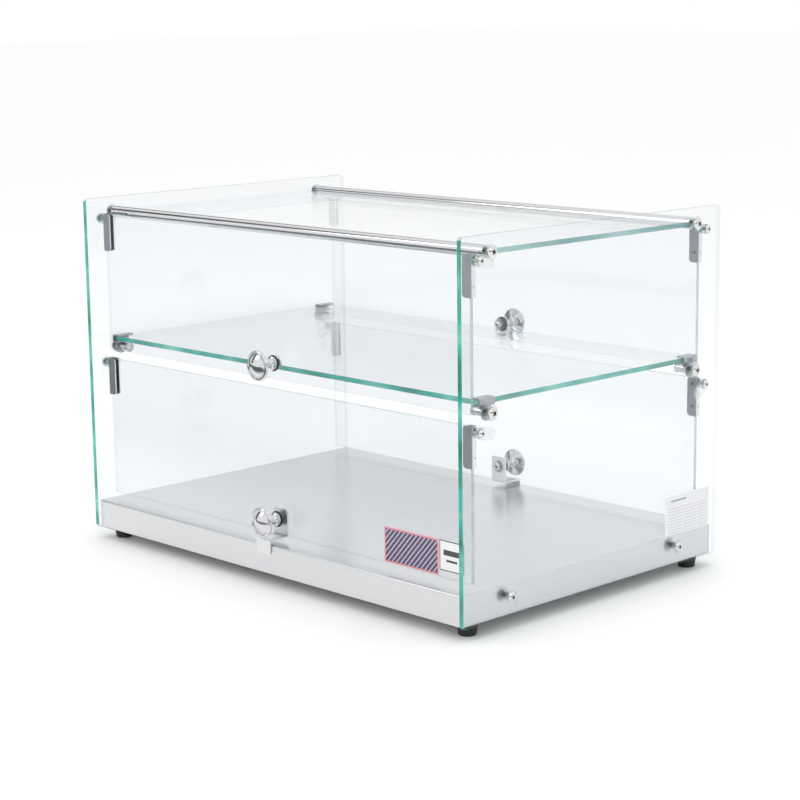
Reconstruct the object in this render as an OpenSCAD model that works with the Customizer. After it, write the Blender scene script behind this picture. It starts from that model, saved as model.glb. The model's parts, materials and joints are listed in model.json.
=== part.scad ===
// Two-tier countertop display case: two glass sides, a glass roof and a glass shelf
// on a folded sheet base, closed front and rear by four top-hung glass flaps.
// Millimetres. X runs left to right, Y from the front (-) to the rear (+), and Z up
// from the surface that the feet stand on. The origin is at the middle of the footprint.

/* [Case] */
// Width over the outer faces of the side glasses
case_w = 550; // [440:1:700]
// Depth of the side glasses, front to rear
case_d = 366; // [300:1:460]
// Height of the side glasses
side_glass_h = 353; // [310:1:440]
// Thickness of the side glasses
side_glass_t = 5; // [4:0.5:8]
// Corner radius of the side glasses
side_glass_r = 4; // [1:0.5:12]
// Radial clearance of the screws in the glass
glass_hole_gap = 0.5; // [0.2:0.1:1]

/* [Base] */
// Height of the base pan
base_h = 30; // [24:1:50]
// Thickness of the base sheet
base_sheet = 1.2; // [0.8:0.1:1.8]
// Outer bend radius along the front and rear edges
base_bend_r = 2; // [1.4:0.1:3]
// Setback of the base behind the front edge of the side glasses
base_setback_front = 3.7; // [2.5:0.1:8]
// Setback of the base inside the rear edge of the side glasses
base_setback_rear = 3.7; // [2.5:0.1:8]
// Width of the flange turned in under the base
base_flange_w = 34; // [30:1:60]
// Distance of the base screws from the glass edges
base_screw_inset = 62; // [45:1:90]
// Distance of the base screws below the deck
base_screw_drop = 11; // [9:0.5:14]
// Head diameter of the base screws
base_head_d = 10; // [9:0.5:12]
// Width across flats of the weld nuts inside the base
weld_nut_af = 8; // [8:0.5:10]
// Height of the weld nuts
weld_nut_h = 4; // [3:0.5:6]

/* [Feet] */
// Height of the feet
foot_h = 12; // [9:0.5:25]
// Diameter of the feet at the top
foot_top_d = 20; // [18:0.5:24]
// Diameter of the feet at the bottom
foot_bottom_d = 17; // [15:0.5:18]
// Distance of the foot centres from the ends of the base
foot_inset_x = 13; // [12:0.5:16]
// Distance of the foot centres from the glass edges
foot_inset_y = 24; // [20:1:26]
// Depth of the screw recess in a foot
foot_recess = 5; // [4:0.5:6]
// Thread diameter of the foot screws
foot_screw_d = 4; // [3.5:0.5:5]
// Head diameter of the foot screws
foot_head_d = 8; // [6.5:0.5:9]
// Head height of the foot screws
foot_head_h = 2.4; // [1.6:0.2:3.2]
// Length of a foot screw inside the base
foot_screw_proud = 4; // [2:0.5:8]

/* [Side screws] */
// Thread diameter of the screws that hold the sides
side_screw_d = 5; // [4:0.5:5]
// Head diameter of the rod and shelf screws
side_head_d = 12; // [10:0.5:12]
// Head height of all screws through the sides
side_head_h = 3.4; // [2.5:0.1:4]
// Diameter of the washers under the heads
side_washer_d = 15; // [13:0.5:15]
// Thickness of the washers under the heads
side_washer_t = 1; // [0.6:0.1:1.2]

/* [Roof] */
// Thickness of the roof glass
roof_t = 5; // [4:0.5:6]
// Diameter of the two rods that carry the roof
rod_d = 12; // [11:0.1:15]
// Distance of the rod axes from the glass edges
rod_inset = 38; // [36:0.5:50]
// Distance of the rod axes below the top of the side glasses
rod_drop = 16; // [12:0.5:22]
// Depth of the glass groove along a rod
rod_groove = 3; // [2:0.5:3.5]
// Drop of the roof glass centre below the rod axis
roof_sink = 1; // [0:0.25:1.5]
// Gap between the roof glass and the side glasses
roof_end_gap = 2; // [1:0.5:5]
// Depth of the threaded holes in the rod ends
rod_thread = 18; // [14:1:30]

/* [Shelf] */
// Clear height between the deck and the shelf
lower_tier_h = 170; // [150:1:185]
// Thickness of the shelf glass
shelf_t = 5; // [4:0.5:8]
// Gap between the shelf glass and the web of its clips
shelf_end_gap = 1.5; // [0.5:0.5:4]
// Width of a shelf clip
shelf_clip_w = 20; // [18:1:30]
// Reach of a shelf clip from the side glass
shelf_clip_reach = 10; // [8:0.5:20]
// Sheet thickness of the shelf clips
shelf_clip_sheet = 1.5; // [1:0.1:2]
// Distance of the shelf screws below the shelf
shelf_screw_drop = 7; // [6.5:0.5:12]
// Diameter of the sleeve nut inside the case
sleeve_d = 8.5; // [7.5:0.5:9]
// Diameter of the sleeve nut's head
sleeve_head_d = 10; // [9.5:0.5:11]
// Height of the sleeve nut's head
sleeve_head_h = 2; // [1.5:0.5:3]
// Length of the sleeve nut from the clip to the end of its head
sleeve_len = 16; // [12:1:24]

/* [Flaps] */
// Thickness of the flap glass
flap_t = 4; // [4:0.5:6]
// Setback of the flaps behind the edge of the side glasses
flap_setback = 21; // [18:0.5:24]
// Gap between the ends of a flap and the side glasses
flap_end_gap = 4; // [3.5:0.5:8]
// Corner radius of the flap glass
flap_r = 2; // [1:0.5:5]
// Drop of the upper flap's top edge below the top of the sides
flap_top_drop = 17; // [15:0.5:24]
// Height of the upper flap's bottom edge below the shelf
flap_lap = 8; // [6:0.5:12]
// Gap between the upper and the lower flap
flap_gap = 9.5; // [7:0.5:14]
// Gap between the lower flap and the deck
flap_floor_gap = 6; // [5:0.5:10]
// Clearance between the closed flaps and what stops them
stop_gap = 0.3; // [0.3:0.05:0.6]

/* [Hinges] */
// Distance of the pivots below the top edge of a flap
pivot_drop = 5.5; // [5:0.25:8]
// Diameter of the pivot screws
pivot_d = 4; // [3:0.5:5]
// Radial clearance of a pivot screw in its bushing
pivot_gap = 0.05; // [0.02:0.01:0.1]
// Axial clearance at each end of a bushing
pivot_end_gap = 0.25; // [0.2:0.05:0.4]
// Head diameter of the pivot screws
pivot_head_d = 8; // [7:0.5:9]
// Head height of the pivot screws
pivot_head_h = 2.4; // [1.8:0.1:3]
// Height of a hinge clip
hinge_clip_h = 39; // [34:1:60]
// Width of a hinge clip, along the flap
hinge_clip_w = 11.5; // [10:0.5:20]
// Sheet thickness of the hinge clips
hinge_clip_sheet = 1.2; // [1:0.1:1.5]
// Corner radius of the hinge clip's flanges
hinge_clip_r = 3.5; // [1:0.5:4.5]
// Diameter of the two clamping screws of a clip
clamp_screw_d = 3; // [2.5:0.5:4]
// Length of the clamping screws
clamp_screw_len = 2.7; // [2:0.1:2.7]
// Distance of the upper clamping screw below the top of the clip
clamp_top_drop = 6.5; // [5:0.5:10]
// Distance of the lower clamping screw below the top of the clip
clamp_low_drop = 29; // [18:0.5:31]
// Width of a bushing plate
bushing_w = 12; // [11:0.5:13]
// Distance between the two ends' centres on a bushing plate
bushing_pitch = 13; // [10:0.5:15]
// Thickness of a bushing plate
bushing_t = 1.6; // [1.2:0.1:2.5]
// Diameter of the bushing's boss in the side glass
bushing_boss_d = 9; // [8:0.5:10]
// Tilt of the front bushing plates below level, in degrees
bushing_tilt_front = 10; // [0:1:45]
// Tilt of the rear bushing plates below level, in degrees
bushing_tilt_rear = 35; // [0:1:60]

/* [Knobs] */
// Diameter of a knob's head
knob_d = 30; // [22:1:32]
// Height of a knob over its washer
knob_h = 24; // [20:1:26]
// Diameter of a knob's neck
knob_neck_d = 8; // [7:0.5:12]
// Diameter of a knob's foot
knob_foot_d = 14; // [12:0.5:15]
// Height of the straight part of a knob's foot
knob_foot_h = 2; // [1:0.5:4]
// Radius of the raised rim round a knob's head
knob_rim_r = 1.5; // [1:0.25:2]
// Distance of the rim's centre below the top of the knob
knob_rim_drop = 5; // [3:0.5:6]
// Distance of the back of the head below the top of the knob
knob_back_drop = 9; // [8:0.5:12]
// Gap between the rim and the dome inside it
knob_dome_gap = 0.5; // [0.2:0.1:1.5]
// Distance of the knobs above the bottom edge of a flap
knob_rise = 16; // [15.5:0.5:24]
// Diameter of the rubber washer under a knob
knob_washer_d = 16; // [14:0.5:18]
// Thickness of the rubber washer under a knob
knob_washer_t = 1.5; // [1:0.1:2.5]
// Diameter of the washer on the inner face of the flap
inner_washer_d = 14; // [10:0.5:15]
// Thickness of the washer on the inner face of the flap
inner_washer_t = 1; // [0.6:0.1:1.5]
// Thread diameter of the knob screws
knob_screw_d = 4; // [3:0.5:5]
// Head diameter of the knob screws
knob_head_d = 8; // [7:0.5:9]
// Head height of the knob screws
knob_head_h = 2.7; // [2:0.1:3.5]
// Length of the knob screws inside the knob
knob_screw_bite = 9; // [6:0.5:12]

/* [Stop brackets] */
// Width of the stop brackets of the lower flaps
bracket_w = 20; // [16:1:40]
// Sheet thickness of the stop brackets
bracket_sheet = 1.5; // [1:0.1:2]
// Height of the bracket plate above the knob axis
bracket_head = 10.5; // [8:0.5:20]
// Gap between the bracket and the bottom edge of the glass
bracket_gap = 0.5; // [0.3:0.1:1]
// Depth of the bracket's tab below the deck
bracket_tab = 9; // [6:0.5:16]
// Corner radius of the bracket's ends
bracket_r = 3; // [1:0.5:5]

/* [Labels] */
// Thickness of the labels
label_t = 0.2; // [0.1:0.05:0.3]
// Corner radius of the labels
label_r = 0.5; // [0.3:0.1:3]
// Width of the rating label
rating_w = 69; // [20:1:90]
// Height of the rating label
rating_h = 40; // [15:1:70]
// Distance of the rating label from the rear edge of the side glass
rating_inset = 12; // [8:1:30]
// Distance of the rating label above the deck
rating_rise = 2; // [0:0.5:20]
// Width of the striped front label
stripe_w = 71; // [30:1:90]
// Height of the striped front label
stripe_h = 33.5; // [15:0.5:60]
// Width of the plain front label
plain_w = 31; // [15:1:60]
// Height of the plain front label
plain_h = 28.5; // [15:0.5:60]
// Distance of the plain label from the right end of the glass
label_inset = 9.5; // [4:0.5:40]
// Gap between the two front labels
label_gap = 1.5; // [1:0.5:4]
// Height of the striped label above the bottom edge of the glass
stripe_rise = 2; // [1:0.5:6]
// Height of the plain label above the bottom edge of the glass
plain_rise = 7.5; // [1:0.5:10]

/* [Hidden] */

$fn = 64;
cut = 1;          // how far a cutting tool runs past the faces it cuts
thread_spare = 2; // how far a blind thread runs past its screw

// Names for the two ends, the two faces and the two tiers
LEFT = -1;
RIGHT = 1;
FRONT = -1;
REAR = 1;
LOWER = 0;
UPPER = 1;

// Planes of the case
side_x = case_w / 2;                     // outer face of a side glass
inner_x = side_x - side_glass_t;         // inner face of a side glass
edge_y = case_d / 2;                     // edge of a side glass
top_z = foot_h + side_glass_h;           // top of the side glasses
deck_z = foot_h + base_h;                // top of the base
base_front_y = edge_y - base_setback_front;
base_rear_y = edge_y - base_setback_rear;
under_deck_z = deck_z - base_sheet;      // underside of the deck

// Axes of the screws through the sides
rod_y = edge_y - rod_inset;
rod_z = top_z - rod_drop;
shelf_z = deck_z + lower_tier_h;         // underside of the shelf
shelf_screw_z = shelf_z - shelf_screw_drop;
base_screw_y = edge_y - base_screw_inset;
base_screw_z = deck_z - base_screw_drop;
roof_z = rod_z - roof_sink;              // mid-plane of the roof glass
foot_recess_gap = 0.4;                   // radial clearance of a screw head in a foot
foot_y = edge_y - foot_inset_y;
foot_x = inner_x - foot_inset_x;

// Planes of the flaps
flap_outer_y = edge_y - flap_setback;
flap_inner_y = flap_outer_y - flap_t;
pivot_y = flap_outer_y - flap_t / 2;
flap_end_x = inner_x - flap_end_gap;
upper_bottom_z = shelf_z - flap_lap;
function flap_top(tier) = tier == UPPER ? top_z - flap_top_drop : upper_bottom_z - flap_gap;
function flap_bottom(tier) = tier == UPPER ? upper_bottom_z : deck_z + flap_floor_gap;
function pivot_z(tier) = flap_top(tier) - pivot_drop;
function knob_z(tier) = flap_bottom(tier) + knob_rise;

// The shelf stops the upper flaps where their knob screws meet its edge
shelf_edge_y = flap_inner_y - inner_washer_t - knob_head_h - stop_gap;

// Hinge clips: the web stands clear of the glass, for the end of the pivot screw
thrust_len = 1.2;                        // how far a bushing stands inside the glass
web_outer_x = inner_x - thrust_len - pivot_end_gap;
web_inner_x = web_outer_x - hinge_clip_sheet;
pivot_tip_x = flap_end_x + pivot_end_gap;
bushing_face_x = side_x + bushing_t;
pivot_seat_x = bushing_face_x + pivot_end_gap;

// Layout shared by the screws with cross recesses
recess_l = 0.6;                          // length of the cross as a share of the head
recess_w = 0.16;                         // width of the cross as a share of the head
recess_h = 0.6;                          // depth of the cross as a share of the head
head_rim = 0.35;                         // straight part of a head as a share of its height

// ---- placing -------------------------------------------------------------------

// Draws for the right-hand end, or mirrored for the left-hand end
module at_end(end) {
    mirror([end == LEFT ? 1 : 0, 0, 0]) children();
}

// Draws for the rear face, or mirrored for the front face
module at_face(face) {
    mirror([0, face == FRONT ? 1 : 0, 0]) children();
}

// The four corners of the case
module at_corners() {
    for (face = [FRONT, REAR], end = [LEFT, RIGHT])
        at_face(face) at_end(end) children();
}

// Extrudes an outline in (Y, Z) along +X from x
module along_x(x, length) {
    translate([x, 0, 0]) rotate([90, 0, 90]) linear_extrude(length) children();
}

// Extrudes an outline in (X, Z) along +Y from y
module along_y(y, length) {
    translate([0, y + length, 0]) rotate([90, 0, 0]) linear_extrude(length) children();
}

// Turns a piece drawn up along +Z so that it points along +X, at a place on a side
module out_of_side(x, y, z) {
    translate([x, y, z]) rotate([0, 90, 0]) children();
}

// Turns a piece drawn up along +Z so that it points along +Y, at the middle of a flap
module out_of_flap(y, z) {
    translate([0, y, z]) rotate([-90, 0, 0]) children();
}

// ---- outlines ------------------------------------------------------------------

// Rectangle between two corners with round corners
module rounded_rect(low, high, r) {
    translate([low[0] + r, low[1]]) square([high[0] - low[0] - 2 * r, high[1] - low[1]]);
    translate([low[0], low[1] + r]) square([high[0] - low[0], high[1] - low[1] - 2 * r]);
    for (x = [low[0] + r, high[0] - r], y = [low[1] + r, high[1] - r])
        translate([x, y]) circle(r);
}

// Slot outline of a width, with its first centre at the origin, running along -X
module slot_outline(width, pitch) {
    circle(d = width);
    translate([-pitch, 0]) circle(d = width);
    translate([-pitch, -width / 2]) square([pitch, width]);
}

// ---- screws, nuts and washers --------------------------------------------------

// Domed head with a cross recess, standing on z = 0
module cross_head(head_d, head_h) {
    dome = head_h * (1 - head_rim);
    ball_r = (head_d * head_d / 4 + dome * dome) / (2 * dome);
    difference() {
        intersection() {
            cylinder(h = head_h, d = head_d);
            translate([0, 0, head_h - ball_r]) sphere(ball_r);
        }
        for (turn = [0, 90])
            rotate([0, 0, turn])
                translate([-head_d * recess_l / 2, -head_d * recess_w / 2, head_h * (1 - recess_h)])
                    cube([head_d * recess_l, head_d * recess_w, head_h]);
    }
}

// Screw with its head on z = 0 and its shank down to -length
module cross_screw(d, length, head_d, head_h) {
    cross_head(head_d, head_h);
    translate([0, 0, -length]) cylinder(h = length, d = d);
}

// Flat ring on z = 0
module washer(outer_d, inner_d, t) {
    difference() {
        cylinder(h = t, d = outer_d);
        translate([0, 0, -cut]) cylinder(h = t + 2 * cut, d = inner_d);
    }
}

// Clear washers under the heads of all screws through the sides
module side_washers() {
    color("whitesmoke") at_corners()
        for (at = [[rod_y, rod_z], [rod_y, shelf_screw_z], [base_screw_y, base_screw_z]])
            out_of_side(side_x, at[0], at[1])
                washer(side_washer_d, side_screw_d + 2 * glass_hole_gap, side_washer_t);
}

// Screw through a side with its tip at x = tip_x inside
module side_screw(y, z, head_d, tip_x) {
    seat_x = side_x + side_washer_t;
    out_of_side(seat_x, y, z) cross_screw(side_screw_d, seat_x - tip_x, head_d, side_head_h);
}

// Screws through the sides into the rods, the sleeve nuts of the shelf and the weld nuts
module side_screws() {
    color("silver") at_corners() {
        side_screw(rod_y, rod_z, side_head_d, inner_x - rod_thread + thread_spare);
        side_screw(rod_y, shelf_screw_z, side_head_d,
                   inner_x - shelf_clip_sheet - sleeve_len + sleeve_head_h + thread_spare);
        side_screw(base_screw_y, base_screw_z, base_head_d,
                   inner_x - 2 * base_sheet - weld_nut_h);
    }
}

// ---- base ----------------------------------------------------------------------

// Solid block of the base's outer shape, with its front and rear top edges bent round
module base_block() {
    low = [-base_front_y, foot_h];
    high = [base_rear_y, deck_z];
    along_x(-inner_x, 2 * inner_x) {
        rounded_rect(low, high, base_bend_r);
        translate(low) square([high[0] - low[0], base_bend_r]);
    }
}

// Block right across the base between two heights, inset from its front and rear faces
module base_cutter(inset, low_z, high_z) {
    translate([-inner_x - cut, -base_front_y + inset, low_z])
        cube([2 * (inner_x + cut), base_front_y + base_rear_y - 2 * inset, high_z - low_z]);
}

// Deck of the folded base
module base_deck() {
    color("gainsboro") difference() {
        base_block();
        base_cutter(-cut, foot_h - cut, under_deck_z);
    }
}

// Front and rear walls up to the underside of the deck
module base_long_walls() {
    color("gainsboro") difference() {
        base_block();
        base_cutter(-cut, under_deck_z, deck_z + cut);
        base_cutter(base_sheet, foot_h - cut, deck_z);
    }
}

// End walls, each with holes for two side screws
module base_end_walls() {
    color("gainsboro") for (end = [LEFT, RIGHT]) at_end(end) difference() {
        translate([inner_x - base_sheet, -base_front_y + base_sheet, foot_h])
            cube([base_sheet, base_front_y + base_rear_y - 2 * base_sheet, under_deck_z - foot_h]);
        for (face = [FRONT, REAR])
            out_of_side(inner_x - base_sheet - cut, face * base_screw_y, base_screw_z)
                cylinder(h = base_sheet + 2 * cut, d = side_screw_d + 2 * glass_hole_gap);
    }
}

// Flanges turned in along the front and the rear, with holes for the foot screws
module base_long_flanges() {
    half_x = inner_x - base_sheet;
    color("gainsboro") difference() {
        for (y = [-base_front_y + base_sheet, base_rear_y - base_flange_w])
            translate([-half_x, y, foot_h])
                cube([2 * half_x, base_flange_w - base_sheet, base_sheet]);
        at_corners() translate([foot_x, foot_y, foot_h - cut])
            cylinder(h = base_sheet + 2 * cut, d = foot_screw_d);
    }
}

// Flanges turned in along the ends, between the long ones
module base_end_flanges() {
    color("gainsboro") for (end = [LEFT, RIGHT])
        at_end(end) translate([inner_x - base_flange_w, -base_front_y + base_flange_w, foot_h])
            cube([base_flange_w - base_sheet,
                  base_front_y + base_rear_y - 2 * base_flange_w, base_sheet]);
}

// Hexagon nuts welded inside the ends of the base
module base_weld_nuts() {
    color("silver") at_corners()
        out_of_side(inner_x - base_sheet - weld_nut_h, base_screw_y, base_screw_z)
            difference() {
                cylinder(h = weld_nut_h, d = weld_nut_af / cos(30), $fn = 6);
                translate([0, 0, -cut]) cylinder(h = weld_nut_h + 2 * cut, d = side_screw_d);
            }
}

// ---- feet ----------------------------------------------------------------------

// Tapered rubber foot with a recess for its screw
module foot() {
    difference() {
        cylinder(h = foot_h, d1 = foot_bottom_d, d2 = foot_top_d);
        translate([0, 0, -cut]) cylinder(h = foot_recess + cut, d = foot_head_d + 2 * foot_recess_gap);
        cylinder(h = foot_h + cut, d = foot_screw_d);
    }
}

module feet(face) {
    color("#202020") at_face(face)
        for (end = [LEFT, RIGHT])
            at_end(end) translate([foot_x, foot_y, 0]) foot();
}

module foot_screws() {
    color("silver") at_corners() translate([foot_x, foot_y, foot_recess]) mirror([0, 0, 1])
        cross_screw(foot_screw_d, foot_h - foot_recess + base_sheet + foot_screw_proud,
                    foot_head_d, foot_head_h);
}

// ---- side glasses --------------------------------------------------------------

// Pane with holes for the rods, the shelf, the base and the four pivots
module side_glass(end) {
    hole_d = side_screw_d + 2 * glass_hole_gap;
    color("azure", 0.4) at_end(end) along_x(inner_x, side_glass_t) difference() {
        rounded_rect([-edge_y, foot_h], [edge_y, top_z], side_glass_r);
        for (face = [FRONT, REAR]) {
            translate([face * rod_y, rod_z]) circle(d = hole_d);
            translate([face * rod_y, shelf_screw_z]) circle(d = hole_d);
            translate([face * base_screw_y, base_screw_z]) circle(d = hole_d);
            for (tier = [LOWER, UPPER])
                translate([face * pivot_y, pivot_z(tier)]) circle(d = bushing_boss_d);
        }
    }
}

// Rating label on the right side glass, with no lettering
module rating_label() {
    low = [edge_y - rating_inset - rating_w, deck_z + rating_rise];
    color("white") along_x(side_x, label_t)
        rounded_rect(low, low + [rating_w, rating_h], label_r);
}

// ---- roof ----------------------------------------------------------------------

module roof_glass() {
    half = [inner_x - roof_end_gap, rod_y - rod_d / 2 + rod_groove];
    color("azure", 0.4) translate([-half[0], -half[1], roof_z - roof_t / 2])
        cube([2 * half[0], 2 * half[1], roof_t]);
}

// Rod with a groove for the roof glass and a thread in each end
module rod(face) {
    color("silver") at_face(face) difference() {
        out_of_side(-inner_x, rod_y, rod_z) cylinder(h = 2 * inner_x, d = rod_d);
        translate([-inner_x - cut, rod_y - rod_d / 2 - cut, roof_z - roof_t / 2])
            cube([2 * (inner_x + cut), rod_groove + cut, roof_t]);
        for (end = [LEFT, RIGHT])
            at_end(end) out_of_side(inner_x - rod_thread, rod_y, rod_z)
                cylinder(h = rod_thread + cut, d = side_screw_d);
    }
}

// ---- shelf ---------------------------------------------------------------------

module shelf_glass() {
    half_x = inner_x - shelf_clip_sheet - shelf_end_gap;
    color("azure", 0.4) translate([0, 0, shelf_z]) linear_extrude(shelf_t)
        rounded_rect([-half_x, -shelf_edge_y], [half_x, shelf_edge_y], flap_r);
}

// Channel round a shelf corner with a leg down to its screw
module shelf_clip(face, end) {
    low_y = rod_y - shelf_clip_w / 2;
    high_y = rod_y + shelf_clip_w / 2;
    lip_x = inner_x - shelf_clip_reach;
    color("silver") at_face(face) at_end(end) {
        along_x(inner_x - shelf_clip_sheet, shelf_clip_sheet) difference() {
            union() {
                translate([low_y, shelf_z - shelf_clip_sheet])
                    square([shelf_clip_w, shelf_t + 2 * shelf_clip_sheet]);
                translate([rod_y - side_washer_d / 2, shelf_screw_z])
                    square([side_washer_d, shelf_screw_drop]);
                translate([rod_y, shelf_screw_z]) circle(d = side_washer_d);
            }
            translate([rod_y, shelf_screw_z]) circle(d = side_screw_d + 2 * glass_hole_gap);
        }
        for (z = [shelf_z - shelf_clip_sheet, shelf_z + shelf_t])
            translate([lip_x, low_y, z])
                cube([shelf_clip_reach - shelf_clip_sheet, shelf_clip_w, shelf_clip_sheet]);
    }
}

// Sleeve nuts that clamp the clips from inside, each with a cross recess
module shelf_sleeve_nuts() {
    seat_x = inner_x - shelf_clip_sheet;
    barrel = sleeve_len - sleeve_head_h;
    color("silver") at_corners() translate([seat_x, rod_y, shelf_screw_z]) rotate([0, -90, 0]) {
        difference() {
            cylinder(h = barrel, d = sleeve_d);
            translate([0, 0, -cut]) cylinder(h = barrel, d = side_screw_d);
        }
        translate([0, 0, barrel]) cross_head(sleeve_head_d, sleeve_head_h);
    }
}

// ---- pivots in the side glasses ------------------------------------------------

// Clear plate outside the glass, with a boss through it that carries a pivot screw
module pivot_bushing(tier, tilt) {
    difference() {
        union() {
            out_of_side(side_x, pivot_y, pivot_z(tier)) rotate([0, 0, 90 + tilt])
                linear_extrude(bushing_t) slot_outline(bushing_w, bushing_pitch);
            out_of_side(inner_x - thrust_len, pivot_y, pivot_z(tier))
                cylinder(h = side_glass_t + thrust_len, d = bushing_boss_d);
        }
        out_of_side(inner_x - thrust_len - cut, pivot_y, pivot_z(tier))
            cylinder(h = side_glass_t + thrust_len + bushing_t + 2 * cut,
                     d = pivot_d + 2 * pivot_gap);
        out_of_side(side_x - cut, rod_y, rod_z)
            cylinder(h = bushing_t + 2 * cut, d = side_washer_d + 2 * stop_gap);
        translate([0, pivot_y, pivot_z(tier)]) rotate([tilt, 0, 0])
            out_of_side(side_x + bushing_t / 2, -bushing_pitch, 0)
                cylinder(h = bushing_t, d = bushing_w / 2);
    }
}

module pivot_bushings() {
    color("lightcyan") for (end = [LEFT, RIGHT], tier = [LOWER, UPPER]) {
        at_end(end) at_face(FRONT) pivot_bushing(tier, bushing_tilt_front);
        at_end(end) at_face(REAR) pivot_bushing(tier, bushing_tilt_rear);
    }
}

// ---- flaps ---------------------------------------------------------------------

// Flap pane with a hole for its knob screw
module flap_glass(face, tier) {
    color("azure", 0.4) at_face(face) along_y(flap_inner_y, flap_t) difference() {
        rounded_rect([-flap_end_x, flap_bottom(tier)], [flap_end_x, flap_top(tier)], flap_r);
        translate([0, knob_z(tier)]) circle(d = knob_screw_d + 2 * glass_hole_gap);
    }
}

// Channel over a top corner of the flap, tapped for its pivot screw and clamping screws
module hinge_clip(face, tier, end) {
    low_x = web_outer_x - hinge_clip_w;
    low_z = flap_top(tier) - hinge_clip_h;
    inner_y = flap_inner_y - hinge_clip_sheet;
    depth = flap_t + 2 * hinge_clip_sheet;
    color("silver") at_face(face) at_end(end) difference() {
        along_y(inner_y, depth) {
            rounded_rect([low_x, low_z], [web_outer_x, flap_top(tier)], hinge_clip_r);
            translate([web_inner_x - hinge_clip_r, low_z])
                square([web_outer_x - web_inner_x + hinge_clip_r, hinge_clip_h]);
        }
        translate([low_x - cut, flap_inner_y, low_z - cut])
            cube([web_inner_x - low_x + cut, flap_t, hinge_clip_h + 2 * cut]);
        out_of_side(web_inner_x - cut, pivot_y, pivot_z(tier))
            cylinder(h = hinge_clip_sheet + 2 * cut, d = pivot_d);
        for (drop = [clamp_top_drop, clamp_low_drop])
            translate([low_x + hinge_clip_w / 2, inner_y - cut, flap_top(tier) - drop])
                rotate([-90, 0, 0]) cylinder(h = hinge_clip_sheet + 2 * cut, d = clamp_screw_d);
        out_of_side(web_inner_x - cut, pivot_y, flap_top(tier) - clamp_low_drop)
            cylinder(h = hinge_clip_sheet + 2 * cut, d = clamp_screw_d / 2);
    }
}

// Pivot screws of one flap, turning in the bushings and tight in the clips
module pivot_screws(face, tier) {
    color("silver") at_face(face) for (end = [LEFT, RIGHT])
        at_end(end) out_of_side(pivot_seat_x, pivot_y, pivot_z(tier))
            cross_screw(pivot_d, pivot_seat_x - pivot_tip_x, pivot_head_d, pivot_head_h);
}

// Hexagon socket screws through the inner flanges, tight against the glass
module clamp_screws(face, tier) {
    mid_x = web_outer_x - hinge_clip_w / 2;
    socket = clamp_screw_d / 2;
    color("gray") at_face(face) for (end = [LEFT, RIGHT], drop = [clamp_top_drop, clamp_low_drop])
        at_end(end) translate([mid_x, flap_inner_y, flap_top(tier) - drop]) rotate([90, 0, 0])
            difference() {
                cylinder(h = clamp_screw_len, d = clamp_screw_d);
                translate([0, 0, clamp_screw_len - socket / 2])
                    cylinder(h = socket, d = socket, $fn = 6);
            }
}

// ---- knobs ---------------------------------------------------------------------

// Half section of a knob: a spread foot, a neck, and a domed head inside a raised rim
module knob_section() {
    foot_r = knob_foot_d / 2;
    neck_r = knob_neck_d / 2;
    cove_r = foot_r - neck_r;
    rim_x = knob_d / 2 - knob_rim_r;
    rim_z = knob_h - knob_rim_drop;
    back_z = knob_h - knob_back_drop;
    face_z = rim_z + knob_rim_r / 2;
    dome_r = rim_x - knob_rim_r - knob_dome_gap;
    dome_h = knob_h - face_z;
    ball_r = (dome_r * dome_r + dome_h * dome_h) / (2 * dome_h);
    square([foot_r, knob_foot_h]);
    difference() {
        square([foot_r, knob_foot_h + cove_r]);
        translate([foot_r, knob_foot_h + cove_r]) circle(cove_r);
    }
    square([neck_r, rim_z]);
    polygon([[0, back_z], [neck_r, back_z], [rim_x, rim_z - knob_rim_r],
             [rim_x, face_z], [0, face_z]]);
    translate([rim_x, rim_z]) circle(knob_rim_r);
    intersection() {
        translate([0, knob_h - ball_r]) circle(ball_r);
        translate([0, rim_z]) square([dome_r, knob_h]);
    }
}

module knob(face, tier) {
    color("silver") at_face(face) out_of_flap(flap_outer_y + knob_washer_t, knob_z(tier))
        difference() {
            rotate_extrude() intersection() {
                knob_section();
                square([knob_d, 2 * knob_h]);
            }
            translate([0, 0, -cut]) cylinder(h = knob_screw_bite + thread_spare + cut, d = knob_screw_d);
        }
}

// What lies between the inner washer and the glass: the stop bracket on lower flaps
function packing(tier) = tier == LOWER ? bracket_sheet : 0;

// Rubber washer outside the glass and clear washer inside
module knob_washers(face, tier) {
    hole_d = knob_screw_d + 2 * glass_hole_gap;
    inner_y = flap_inner_y - packing(tier) - inner_washer_t;
    color("#202020") at_face(face) {
        out_of_flap(flap_outer_y, knob_z(tier)) washer(knob_washer_d, hole_d, knob_washer_t);
        out_of_flap(inner_y, knob_z(tier)) washer(inner_washer_d, hole_d, inner_washer_t);
    }
}

module knob_screw(face, tier) {
    seat_y = flap_inner_y - packing(tier) - inner_washer_t;
    color("silver") at_face(face) out_of_flap(seat_y, knob_z(tier)) mirror([0, 0, 1])
        cross_screw(knob_screw_d,
                    flap_outer_y + knob_washer_t + knob_screw_bite - seat_y,
                    knob_head_d, knob_head_h);
}

// ---- stop brackets -------------------------------------------------------------

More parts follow.
